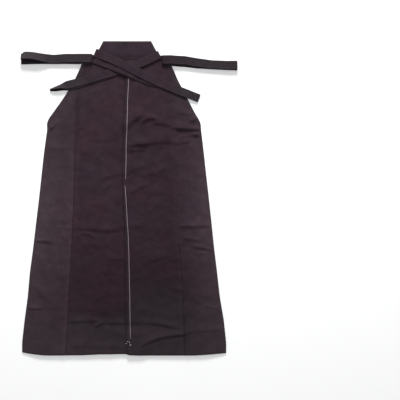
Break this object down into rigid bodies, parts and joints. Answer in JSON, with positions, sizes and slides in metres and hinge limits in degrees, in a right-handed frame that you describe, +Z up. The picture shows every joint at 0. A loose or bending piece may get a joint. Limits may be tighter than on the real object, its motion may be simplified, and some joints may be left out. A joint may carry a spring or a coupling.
{
  "type": "hakama trousers",
  "caption": "Pleated hakama trousers laid flat with the back side up: stiff back board, crossed back ties and front ties folded out to each side.",
  "frame": {"origin": "under the middle of the whole laid outline, ties included, on the surface it lies on", "axes": "+X towards the wearer's right side, +Y from the hem to the waist, +Z up from the surface; the back of the garment faces up"},
  "size_m": [0.7343, 1.0681, 0.018],
  "materials": {
    "trouser_cloth": "matt dyed cotton twill, dark aubergine brown",
    "tie_cloth": "the same cotton, folded into flat ties",
    "board_cloth": "the same cotton drawn over a stiff board",
    "thread": "pale basting thread and mauve sewing thread"
  },
  "bodies": {
    "root": {"back_board": "board_cloth", "back_left_inner": "trouser_cloth", "back_left_outer": "trouser_cloth", "back_right_inner": "trouser_cloth", "back_right_outer": "trouser_cloth", "front_left": "trouser_cloth", "front_right": "trouser_cloth", "front_waistband": "tie_cloth", "crotch_gusset": "trouser_cloth", "front_tie_left": "tie_cloth", "front_tie_right": "tie_cloth", "back_tie_left": "tie_cloth", "back_tie_right": "tie_cloth"}
  },
  "joints": []
}
